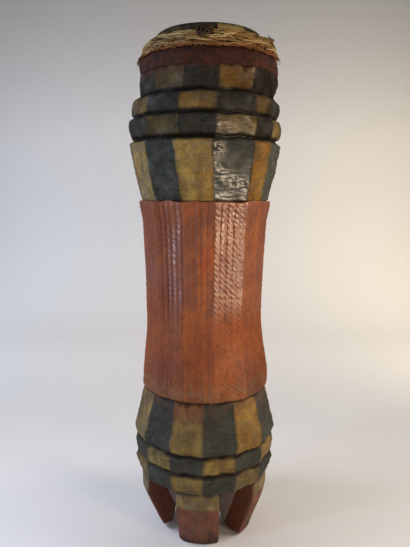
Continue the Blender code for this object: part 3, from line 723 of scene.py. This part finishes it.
def upper_bands(material):
    """The flare, the two rings and the collar above the barrel."""
    columns = 22
    radius, height = line_points(UPPER_LINE, 0.0021)
    lean = np.clip((height - BARREL_TOP) / (UPPER_FLARE_TOP - FLARE_ROUNDING - BARREL_TOP), 0, 1)
    lean = lean * (1 - np.clip((height - UPPER_FLARE_TOP + FLARE_ROUNDING) / FLARE_ROUNDING, 0, 1))
    corners = np.array([upper_corners(part) for part in lean])
    points, facet, share = facet_grid(radius, height, corners, columns)
    proud = arrises(radius)
    deep = cut_shade(height, (UPPER_FLARE_TOP, UPPER_RING_TOP, TOP_RING_TOP))
    along = points[..., 2].copy()
    relief = 0.0010 * uneven(points, 0.018, 31)
    relief += 0.0007 * uneven(points, 0.0055, 32, (3, 3, 0.8))
    brushed = 0.0007 * uneven(points, 0.0045, 36, (2.5, 2.5, 0.8))
    relief += np.where(facet == SHINY_FACET, 1, 0) * brushed
    relief -= chips(points, proud, 33)
    width = 2 * np.sin(np.diff(np.append(upper_corners(), upper_corners()[0] + 2 * pi)) / 2)
    width = (width * UPPER_FACET_RADIUS)[facet]
    bands = (("upper_flare", BARREL_TOP - 0.01, UPPER_FLARE_TOP),
             ("upper_ring", UPPER_FLARE_TOP, UPPER_RING_TOP),
             ("top_ring", UPPER_RING_TOP, TOP_RING_TOP), ("collar", TOP_RING_TOP, DRUM_TOP))
    ochre, tone, grime_and_shade = checker(bands, points, height, facet, share, width)
    level = height[:, None]
    in_flare = level < UPPER_FLARE_TOP
    in_upper_ring = (level > UPPER_FLARE_TOP) & (level < UPPER_RING_TOP)

    # The shiny facet gleams most low on the flare and down its left edge
    up = np.clip((level - BARREL_TOP) / (UPPER_FLARE_TOP - BARREL_TOP), 0, 1)
    dull = eased(1.5 * share) * eased((up - 0.25) / 0.5)
    polish = np.where(in_flare, 1.0 - 0.8 * dull, 0.7)
    polish = np.where(level > UPPER_RING_TOP, 0.15, polish)
    polish = np.where(facet == SHINY_FACET, polish, 0.06) + 0.2 * uneven(points, 0.02, 35)

    # The hide's red has run over the top of the collar
    under_hide = np.clip(1 - (COLLAR_TOP - along) / 0.022, 0, 1)
    ragged = 0.0055 + 0.0030 * np.clip(uneven(points, 0.008, 37), -1, 1)
    margin = 1.15 * np.clip(1.2 - (COLLAR_TOP - along) / ragged, 0, 1)
    on_left = (facet == FRONT_LEFT_FACET) | (facet == LEFT_FACET)

    # Painted shade: the side facets are made darker, and the front facet lighter
    sides = np.where(facet == FRONT_FACET, -0.12, 0) + np.where(facet == SMOOTH_FACET, 0.16, 0)
    sides = sides + np.where((facet == FRONT_LEFT_FACET) & in_upper_ring, 0.16, 0)
    sides = sides + np.where((facet == SMOOTH_FACET) & in_flare, 0.10, 0)

    # Bare nicks down one edge of the collar, and a flare block paler to its top left
    nicks = 1.4 * ((facet == SHINY_FACET) & (share > 0.9) & (along > TOP_RING_TOP + 0.006)
                   & (uneven(points, 0.0035, 38, (1, 1, 0.8)) > 0.1))
    in_block = (facet == FRONT_FACET) & in_flare
    tone = tone + 0.6 * np.clip(share - up, 0, 1) * in_block
    paler = 0.62 * np.clip(up - share + 0.15, 0, 1) * in_block
    marks = {
        "ochre": ochre, "tone": tone, "black": FAR, "red": -FAR,
        "dirt_and_shade": np.maximum(grime_and_shade + sides, deep[:, None]),
        "wear": np.maximum(rubbed(proud, share, width), paler) + nicks,
        "stain": np.maximum(under_hide * np.where(on_left, 0.6, 0.3), margin),
        "polish": np.clip(polish, 0, 1),
    }
    points = pushed(points, relief)
    points[..., 2] += 0.0011 * uneven(points, 0.022, 34, (1, 1, 6)) * (along > BARREL_TOP + 0.02)
    faces = strips(*along.shape)
    make_piece("log_upper_bands", points, faces, material, "drum_body", marks)


def leg_loop(index, level):
    """One level of a leg: its outline, with how far in from the outer face each point is."""
    is_worn = index == WORN_LEG
    floor = WORN_AWAY if is_worn else 0.0
    foot = WORN_FOOT_RADIUS if is_worn else FOOT_RADIUS
    slant = max(0.0, 1 - level / LEG_BEND)
    outer = LEG_RADIUS - (LEG_RADIUS - foot) * slant ** 1.1
    rounding = FOOT_CORNER * max(0.0, 1 - (level - floor) / FOOT_CORNER) ** 2 / FOOT_RADIUS
    half = radians(LEG_HALF_ANGLE + (FOOT_HALF_ANGLE - LEG_HALF_ANGLE) * slant)
    if is_worn:
        left = max(0.0, 1 - level / (LEG_TOP + LEG_INTO_LOG))
        inner = LEG_INNER_RADIUS + (WORN_FOOT_INNER_RADIUS - LEG_INNER_RADIUS) * left
    else:
        left = max(0.0, 1 - level / FOOT_HOLLOW)
        inner = LEG_INNER_RADIUS + (FOOT_INNER_RADIUS - LEG_INNER_RADIUS) * left ** 1.5
    centre = radians(FIRST_LEG_ANGLE) + 2 * pi * index / LEG_COUNT
    right = half - (0.25 if index == 0 else 1.0) * rounding
    left_side = half - 1.3 * rounding
    sides = np.linspace(outer, inner, LEG_SIDE_POINTS + 2)[1:-1]
    angle = np.concatenate([
        np.linspace(-left_side, right, LEG_OUTER_POINTS), np.full(LEG_SIDE_POINTS, right),
        np.linspace(right, -left_side, LEG_INNER_POINTS), np.full(LEG_SIDE_POINTS, -left_side),
    ]) + centre
    reach = np.concatenate([np.full(LEG_OUTER_POINTS, outer), sides,
                            np.full(LEG_INNER_POINTS, inner), sides[::-1]])
    return angle, reach, outer - reach


def legs():
    """Points and faces of the five legs, and how far in from the outer face each point is."""
    points, faces, inside = [], [], []
    start = 0
    for index in range(LEG_COUNT):
        floor = WORN_AWAY if index == WORN_LEG else 0.0
        levels = np.concatenate([floor + FOOT_CORNER * np.linspace(0, 1, 7)[:-1],
                                 np.linspace(floor + FOOT_CORNER, LEG_TOP + LEG_INTO_LOG, 52)])
        loops = np.array([leg_loop(index, level) for level in levels])
        angle, reach, depth = loops.transpose(1, 0, 2)
        grid = np.stack([reach * np.sin(angle), -reach * np.cos(angle),
                         np.broadcast_to(levels[:, None], angle.shape)], axis=-1)
        rows, columns = angle.shape
        points.append(grid.reshape(-1, 3))
        inside.append(depth.ravel())
        faces += strips(rows, columns, start).tolist()
        faces.append(list(range(start + columns - 1, start - 1, -1)))
        start += rows * columns
    return np.concatenate(points), faces, np.concatenate(inside)


def lower_bands(material):
    """The lower flare, the two foot rings and the legs."""
    columns = 24
    radius, height = line_points(LOWER_LINE, 0.0022)
    points, facet, share = facet_grid(radius, height, lower_corners(), columns)
    inner = radius < 0.12
    proud = arrises(radius)
    proud[inner] = 0
    deep = cut_shade(height, (FOOT_RING_TOP, SECOND_RING_TOP, LOWER_FLARE_TOP))
    # Painted shade on the log's underside between the legs
    deep[height < LEG_TOP + 0.002] = 0.3
    along = points[..., 2].copy()
    relief = 0.0010 * uneven(points, 0.018, 41)
    relief += 0.0005 * uneven(points, 0.005, 42, (3, 3, 0.8))
    relief -= chips(points, proud, 43)
    relief[inner] = 0
    bands = (("foot_ring", LEG_TOP - 0.01, FOOT_RING_TOP),
             ("second_ring", FOOT_RING_TOP, SECOND_RING_TOP),
             ("lower_flare", SECOND_RING_TOP, BARREL_TOP))
    ochre, tone, grime_and_shade = checker(bands, points, height, facet, share, LOWER_FACET_WIDTH)
    bare = (radius < 0.138) & (height < LEG_TOP + 0.005)
    black = np.full(ochre.shape, FAR)
    ochre[bare] = black[bare] = -FAR
    top = np.clip((along - LOWER_FLARE_TOP + 0.045) / 0.045, 0, 1)
    stain = top * np.where(facet == RED_RUN_FACET, 0.95, 0.2)
    stain = stain + 0.15 * top * uneven(points, 0.012, 48)

    # Painted shade in the cuts: darkest on the faces turned to the front, lighter under the barrel
    facing = np.clip(-points[..., 1] / np.hypot(points[..., 0], points[..., 1]), 0.3, 1)
    shaded_cuts = (0.50 + 0.42 * facing + 0.20 * uneven(points, 0.02, 52)) * deep[:, None]
    shaded_cuts = np.where(along > LOWER_FLARE_TOP - 0.012, 0.6, 1.0) * shaded_cuts
    marks = {
        "ochre": ochre, "tone": tone, "black": black, "red": -FAR,
        "dirt_and_shade": np.maximum(grime_and_shade, shaded_cuts), "wear": rubbed(proud, share, LOWER_FACET_WIDTH),
        "stain": stain, "polish": 0.12,
    }
    band_points = pushed(points, relief)
    free = (along > LEG_TOP + 0.01) & (along < LOWER_FLARE_TOP - 0.01)
    band_points[..., 2] += 0.0014 * uneven(points, 0.022, 45, (1, 1, 6)) * free

    leg_points, leg_faces, inside = legs()
    rough = 0.0007 * uneven(leg_points, 0.015, 44) * np.clip(leg_points[:, 2] / 0.004, 0, 1)
    leg_points = pushed(leg_points, rough)
    level = leg_points[:, 2]
    outside = inside < 0.0008
    painted = (LEG_PAINT_DEPTH - inside) * 1000
    shade_under_ring = 0.45 * np.clip((level - LEG_TOP + 0.010) / 0.010, 0, 1)
    worn_low = 0.22 * np.clip(1 - level / 0.04, 0, 1)
    streaks = 0.35 * uneven(leg_points, 0.016, 49) + 0.3 * uneven(leg_points, 0.006, 50, (1, 1, 3))
    # Grime, and painted shade: darkest just under the foot ring, heavy on the outer faces, less on
    # the inner painted ones
    leg_marks = {
        "ochre": np.where(outside, (level - LEG_YELLOW_FROM) * 1000 + 3, -FAR),
        "tone": streaks - 0.55, "black": -FAR,
        "red": np.where(outside, (LEG_YELLOW_FROM - level) * 1000, painted),
        "polish": 0.3, "stain": 0,
        "dirt_and_shade": shade_under_ring + np.where(outside, 0.42 + 0.38 * streaks + worn_low,
                                      np.where(painted > 0, 0.20 + 0.2 * streaks, 0.0)),
        "wear": np.maximum(0.7 * np.clip(1 - np.abs(inside - 0.0010) / 0.0025, 0, 1),
                           0.45 * (~outside & (painted > 0))),
    }
    faces = strips(*along.shape).tolist()
    faces += [[i + along.size for i in face] for face in leg_faces]
    points = np.concatenate([band_points.reshape(-1, 3), leg_points])
    joined = {name: np.concatenate([every_point(marks[name], band_points),
                                    every_point(leg_marks[name], leg_points)])
              for name in marks}
    make_piece("log_lower_bands", points, faces, material, "drum_body", joined)


def bore(material):
    """The hollow inside the log, down to its mouth between the legs."""
    line = ((MOUTH_RADIUS, LEG_TOP), (MOUTH_RADIUS, MOUTH_TOP), (BORE_RADIUS, BORE_FOOT),
            (BORE_RADIUS, DRUM_TOP - 0.006))
    radius, height = line_points(line, 0.008)
    columns = 72
    angle = np.arange(columns) * 2 * pi / columns
    points = np.stack([radius[:, None] * np.sin(angle), -radius[:, None] * np.cos(angle),
                       np.repeat(height[:, None], columns, 1)], axis=-1)
    points = pushed(points, 0.0012 * uneven(points, 0.03, 51))
    marks = {"ochre": -FAR, "black": -FAR, "red": -FAR, "tone": 0, "wear": 0, "stain": 0,
             "polish": 0, "dirt_and_shade": 0.35}
    faces = strips(*points.shape[:-1])[:, ::-1]
    make_piece("log_bore", points, faces, material, "drum_body", marks)


# The head

def hide(material):
    """The hide: over the rim and down the shoulder, with its margin flush on the collar."""
    columns = 28
    radius, height = line_points(HIDE_LINE, 0.0021)
    points, facet, share = facet_grid(radius, height, upper_corners(), columns)
    reach = np.hypot(points[..., 0], points[..., 1])
    level = height[:, None]
    angle = np.degrees(np.arctan2(points[..., 0], -points[..., 1]))
    roundness = eased((level - COLLAR_TOP) / 0.020)
    scale = 1 + (radius[:, None] / reach * 0.9985 - 1) * roundness
    points[..., :2] *= scale[..., None]
    edge = eased(1 - (level - COLLAR_TOP + 0.003) / 0.012)
    points[..., 2] += edge * (0.0008 * uneven(points, 0.007, 61, (1, 1, 9)) - 0.0002)
    below = np.clip((DRUM_TOP - 0.0500 - level) / 0.01, 0, 1)
    relief = 0.0005 * below * uneven(points, 0.007, 62, (1, 1, 4))
    relief += 0.0004 * uneven(points, 0.02, 63) * (level < DRUM_TOP - 0.010)
    crown = np.clip((level - DRUM_TOP + 0.0420) / 0.006, 0, 1)

    # Yellow patches on the rim, one in front and two behind, and the skin bare where played
    on_rim = crown * (reach > YELLOW_INNER_RADIUS)
    near = np.clip(1 - np.abs(angle - YELLOW_PATCH_ANGLE) / 15, 0, 1)
    yellow = np.clip(near * 12, 0, 1) * on_rim
    for back in BACK_PATCH_ANGLES:
        off = np.abs((angle - back + 180) % 360 - 180)
        yellow = np.maximum(yellow, np.clip((13 - off) / 1.5, 0, 1) * on_rim)
    played = np.clip((PLAYED_RADIUS - reach) / 0.03, 0, 1) * crown
    points = pushed(points, relief)
    rim = np.clip((level - DRUM_TOP + 0.0130) / 0.010, 0, 1)
    marks = {"crown": crown, "yellow": 0.85 * yellow, "rim": rim, "played": 0.8 * played}
    rows, count = reach.shape
    faces = strips(rows, count).tolist()
    faces.append([(rows - 1) * count + i for i in range(count)])
    make_piece("stretched_hide", points, faces, material, "drumhead_hide", marks)


def tube(path, radius, sides, start, flat=1.0, plies=0, twist=0.0, closed=False):
    """The points and faces of a thin rod along a path, round, flattened or of twisted plies.

    Its points are counted from start, and the twist is in radians for each metre.
    """
    if closed:
        ahead = np.roll(path, -1, axis=0) - np.roll(path, 1, axis=0)
    else:
        ahead = np.gradient(path, axis=0)
    ahead /= np.linalg.norm(ahead, axis=1)[:, None]
    out = (path - np.array([HEAD_OFFSET, 0, 0])) * np.array([1, 1, 0])
    out -= (out * ahead).sum(1)[:, None] * ahead
    out /= np.linalg.norm(out, axis=1)[:, None]
    over = np.cross(ahead, out)
    around = np.arange(sides) * 2 * pi / sides
    run = np.concatenate([[0], np.cumsum(np.linalg.norm(np.diff(path, axis=0), axis=1))])
    bulge = 1 + 0.16 * np.cos(plies * around[None] + twist * run[:, None]) * (plies > 0)
    size = np.broadcast_to(np.asarray(radius), (len(path),))[:, None] * bulge
    points = (path[:, None] + (size * np.cos(around))[..., None] * out[:, None] * flat
              + (size * np.sin(around))[..., None] * over[:, None])
    rows = len(path)
    faces = strips(rows, sides, start).tolist()
    if closed:
        last = start + (rows - 1) * sides
        for i in range(sides):
            j = (i + 1) % sides
            faces.append([last + i, last + j, start + j, start + i])
    return points.reshape(-1, 3), faces


def on_slope(angle, up, lift):
    """A place on the shoulder's slope: round it, up it from 0 to 1, and out from it."""
    foot, top = np.array(BAND_FOOT), np.array(BAND_TOP)
    run = top - foot
    length = np.hypot(*run)
    out = np.array([run[1], -run[0]]) / length
    rise = np.clip(up, 0, 1) ** BAND_BULGE_RISE
    lift = lift + BAND_BULGE * np.maximum(0, np.sin(pi * rise)) ** BAND_BULGE_FULLNESS
    radius = foot[0] + run[0] * up + out[0] * lift
    height = foot[1] + run[1] * up + out[1] * lift
    return np.stack([radius * np.sin(angle) + axis_offset(height), -radius * np.cos(angle),
                     height + 0 * angle], axis=-1)


def bunch(angle):
    """How much the turns swell where the loose ends are gathered, at the right."""
    return np.maximum(0, np.cos(angle - radians(80))) ** 3


def binding(material):
    """Turns of twisted fibre wound round the shoulder, with loose fibres over them."""
    draw = np.random.default_rng(71)
    points, faces, tone, stain = [], [], [], []
    start = 0

    def lay(path, thick, sides, shade, red, **form):
        """One fibre, with its tone and how far it is stained red."""
        nonlocal start
        new, new_faces = tube(path, thick, sides, start, **form)
        points.append(new)
        faces.extend(new_faces)
        start += len(new)
        tone.append(np.full(len(new), shade))
        stain.append(np.full(len(new), red))

    angle = np.arange(TURN_STEPS) * 2 * pi / TURN_STEPS
    for strand in range(STRANDS):
        up = (strand + 0.5) / STRANDS
        a, b, c = draw.uniform(0, 2 * pi, 3)
        wave = 0.035 * np.sin(3 * angle + a) + 0.032 * np.sin(8 * angle + b)
        wave += 0.026 * np.sin(19 * angle + c) + 0.016 * np.sin(37 * angle + a)
        lift = 0.0019 + 0.0007 * np.sin(9 * angle + b) + 0.0022 * bunch(angle)
        size = STRAND_RADIUS * (1 + 0.12 * np.sin(5 * angle + a) + 0.25 * bunch(angle))
        path = on_slope(angle, up + wave * (1 - 0.3 * (strand in (0, STRANDS - 1))), lift)
        lay(path, size, 10, draw.uniform(-0.5, 0.5), max(0.0, 0.85 - 0.42 * strand),
            flat=0.85, plies=3, twist=900, closed=True)
    for _ in range(WISPS):
        middle = draw.uniform(0, 2 * pi)
        half = draw.uniform(0.05, 0.34)
        around = np.linspace(middle - half, middle + half, 18)
        t = np.linspace(-1, 1, 18)
        up = draw.uniform(0.02, 0.98) + draw.normal(0, 0.11) * t + draw.normal(0, 0.07) * t ** 3
        up = up + draw.uniform(0.01, 0.05) * np.sin(draw.uniform(2, 7) * t + draw.uniform(0, 6))
        lift = 0.0046 + draw.uniform(-0.0006, 0.0014) + 0.0040 * bunch(around)
        lift = lift + draw.uniform(0, 0.0018) * t ** 4
        thick = draw.uniform(0.0005, 0.0014) * (1 - 0.8 * t ** 6)
        lay(on_slope(around, np.clip(up, -0.05, 1.04), lift), thick, 4, draw.uniform(-1.0, 1.0),
            max(0.0, 0.9 - 2.6 * np.mean(up)) * draw.uniform(0.3, 1))

    # Loose fibres: a tuft at the left, cut ends at the right, and short ones all round. For
    # each its angle, down or up, its greatest length, how far its end stands off, its radius
    frays = [(radians(draw.normal(-82, 11)), -1, 0.50, 0.0022, 0.0008)
             for _ in range(TUFT_FIBRES)]
    frays += [(radians(draw.normal(78, 2.2)), 1, 0.34, 0.0105, 0.0018)
              for _ in range(CUT_ENDS)]
    frays += [(draw.uniform(0, 2 * pi), -1, 0.42, 0.0012, 0.0008)
              for _ in range(LOOSE_FIBRES)]
    for around, way, longest, stands, thick in frays:
        t = np.linspace(0, 1, 8)
        begin = 0.14 if way < 0 else 0.80
        up = begin + way * draw.uniform(0.3 * longest, longest) * t
        lift = 0.0042 + (stands + draw.uniform(-0.0012, 0.0026)) * t ** 2 + 0.0030 * bunch(around)
        path = on_slope(around + draw.normal(0, 0.09) * t, up, lift)
        lay(path, thick * (1 - 0.7 * t), 4, draw.uniform(-0.6, 0.6) if way < 0 else -0.7,
            draw.uniform(0.2, 0.9) if way < 0 else 0.3)
    marks = {"tone": np.concatenate(tone), "stain": np.concatenate(stain)}
    make_piece("wound_fibre", np.concatenate(points), faces, material,
               "fibre_binding", marks)


def knot(material):
    """The dark knot: a cord wound flat round itself against the rim."""
    t = np.linspace(0, 1, 150)
    polar = 0.30 + 1.75 * t
    spin = 2 * pi * KNOT_TURNS * t
    side = KNOT_SPREAD * np.sin(polar) * np.cos(spin)
    rise = KNOT_SPREAD * np.sin(polar) * np.sin(spin)
    out = KNOT_HEIGHT * np.cos(polar)

    def placed(side, rise, out):
        radius = KNOT_RADIUS + out - 0.30 * rise
        x = radius * sin(KNOT_ANGLE) + side * cos(KNOT_ANGLE)
        y = -radius * cos(KNOT_ANGLE) + side * sin(KNOT_ANGLE)
        return np.stack([x + HEAD_OFFSET, y, KNOT_LEVEL + rise], axis=-1)

    side = side * (1.08 + 0.16 * np.sin(spin * 0.7 + 1.0))
    rise = rise * (0.96 + 0.18 * np.sin(spin * 0.6 + 2.2))
    points, faces = tube(placed(side, rise, out), KNOT_CORD_RADIUS, 10, 0, plies=2, twist=700)

    # Two cords cross over it
    for slant, shift in ((0.9, -0.0015), (-0.5, 0.0022)):
        s = np.linspace(-1, 1, 24)
        over = placed(CROSSING_REACH[0] * s * cos(slant) - shift * sin(slant),
                      CROSSING_REACH[1] * s * sin(slant) + shift * cos(slant),
                      CROSSING_REACH[2] * np.cos(1.35 * s))
        thick = CROSSING_CORD_RADIUS * (1 - 0.2 * s ** 4)
        cord, cord_faces = tube(over, thick, 10, len(points), plies=2, twist=700)
        points = np.concatenate([points, cord])
        faces += cord_faces

    # The round body that the cords are wound on
    core = np.linspace(0.02, pi - 0.02, 14)
    ring = np.arange(24) * 2 * pi / 24
    filled = placed(KNOT_CORE[0] * np.sin(core)[:, None] * np.cos(ring),
                    KNOT_CORE[1] * np.sin(core)[:, None] * np.sin(ring),
                    KNOT_CORE[2] * np.cos(core)[:, None] + 0 * ring).reshape(-1, 3)
    faces += strips(14, 24, len(points)).tolist()
    points = np.concatenate([points, filled])
    tone = np.clip(0.10 + 0.45 * uneven(points, 0.005, 81), -0.7, 0.8)
    marks = {"tone": tone, "stain": 0}
    make_piece("wound_knot", points, faces, material, "binding_knot", marks)


# Floor, light and camera

def backdrop():
    """A pale floor that sweeps up into the wall behind."""
    bend = np.linspace(0, pi / 2, 16)
    wall = BEND_FROM + BEND_RADIUS
    y = np.concatenate([[-BACKDROP_REACH], BEND_FROM + BEND_RADIUS * np.sin(bend), [wall]])
    z = np.concatenate([[0.0], BEND_RADIUS - BEND_RADIUS * np.cos(bend), [BACKDROP_REACH]])
    x = np.array([-BACKDROP_REACH, BACKDROP_REACH])
    points = np.stack([np.repeat(x[None], len(y), 0), np.repeat(y[:, None], 2, 1),
                       np.repeat(z[:, None], 2, 1)], axis=-1)
    mesh = bpy.data.meshes.new("backdrop")
    mesh.from_pydata(points.reshape(-1, 3), [], strips(len(y), 2, closed=False))
    mesh.shade_smooth()
    mesh.materials.append(backdrop_material())
    made = bpy.data.objects.new("backdrop", mesh)
    bpy.context.scene.collection.objects.link(made)


def area_light(name, place, target, size, power, colour, spread):
    """A soft rectangular light that faces a target."""
    light = bpy.data.lights.new(name, "AREA")
    light.shape = "RECTANGLE"
    light.size, light.size_y = size
    light.energy = power
    light.color = linear(colour)[:3]
    light.spread = radians(spread)
    made = bpy.data.objects.new(name, light)
    aim = Vector(target) - Vector(place)
    facing = aim.to_track_quat("-Z", "Y").to_matrix().to_4x4()
    made.matrix_world = Matrix.Translation(place) @ facing
    bpy.context.scene.collection.objects.link(made)


def lights():
    """Cool window light from the left, warm low light from the right, and a lit backdrop."""
    for light in LIGHTS:
        area_light(*light)
    world = bpy.data.worlds.new("studio")
    world.use_nodes = True
    shader = world.node_tree.nodes["Background"]
    shader.inputs["Color"].default_value = linear(ROOM_COLOUR)
    shader.inputs["Strength"].default_value = ROOM_STRENGTH
    bpy.context.scene.world = world
    bpy.context.scene.view_settings.view_transform = "Standard"


def camera():
    """The camera at the photograph's place, some 1.1 m off and tilted a little down."""
    lens = bpy.data.cameras.new("view")
    lens.sensor_fit = "HORIZONTAL"
    lens.sensor_width = 36
    lens.lens = lens.sensor_width * FOCAL_LENGTH_IN_PIXELS / PICTURE_WIDTH_IN_PIXELS
    made = bpy.data.objects.new("view", lens)
    made.matrix_world = (Matrix.Translation(CAMERA_PLACE)
                         @ Matrix.Rotation(radians(90 - CAMERA_TILT), 4, "X")
                         @ Matrix.Rotation(radians(CAMERA_ROLL), 4, "Z"))
    bpy.context.scene.collection.objects.link(made)
    bpy.context.scene.camera = made


wood = painted_wood()
camera()
lights()
backdrop()
barrel(wood)
upper_bands(wood)
lower_bands(wood)
bore(wood)
hide(hide_material())
binding(fibre_material("dry_plant_fibre", "#b8965c", "#7c5c34", "#e6cc96", "#8a4a28"))
knot(fibre_material("dark_bound_cord", "#3d2b1d", "#271b13", "#6a5638", "#3d2b1d"))
